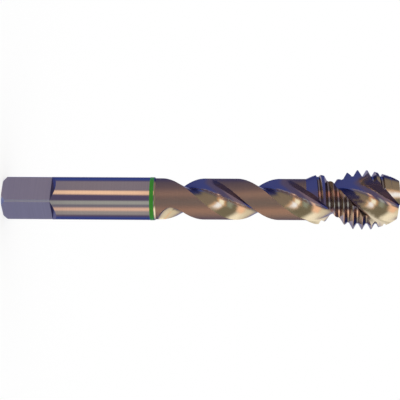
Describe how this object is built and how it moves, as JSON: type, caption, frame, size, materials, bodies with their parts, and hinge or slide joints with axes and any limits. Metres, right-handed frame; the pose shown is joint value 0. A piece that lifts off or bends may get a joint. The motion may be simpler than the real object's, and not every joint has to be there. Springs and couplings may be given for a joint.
{
  "type": "thread tap",
  "caption": "Right-hand spiral-flute machine tap for blind holes: square drive end, plain shank with a colour band, reduced neck and a chamfered unified coarse thread.",
  "frame": {"origin": "centre of the flat end face of the driving square", "axes": "+Z along the tap's axis from the square to the cutting point; the flutes and the thread are right-handed about +Z"},
  "size_m": [0.0128, 0.0128, 0.0857],
  "materials": {
    "coated_steel": "ground high-speed steel under a thin bronze to blue oxide coat; polished flutes, satin neck",
    "green_paint": "smooth enamel"
  },
  "bodies": {
    "root": {"tap_body": "coated_steel", "colour_band": "green_paint"}
  },
  "joints": []
}
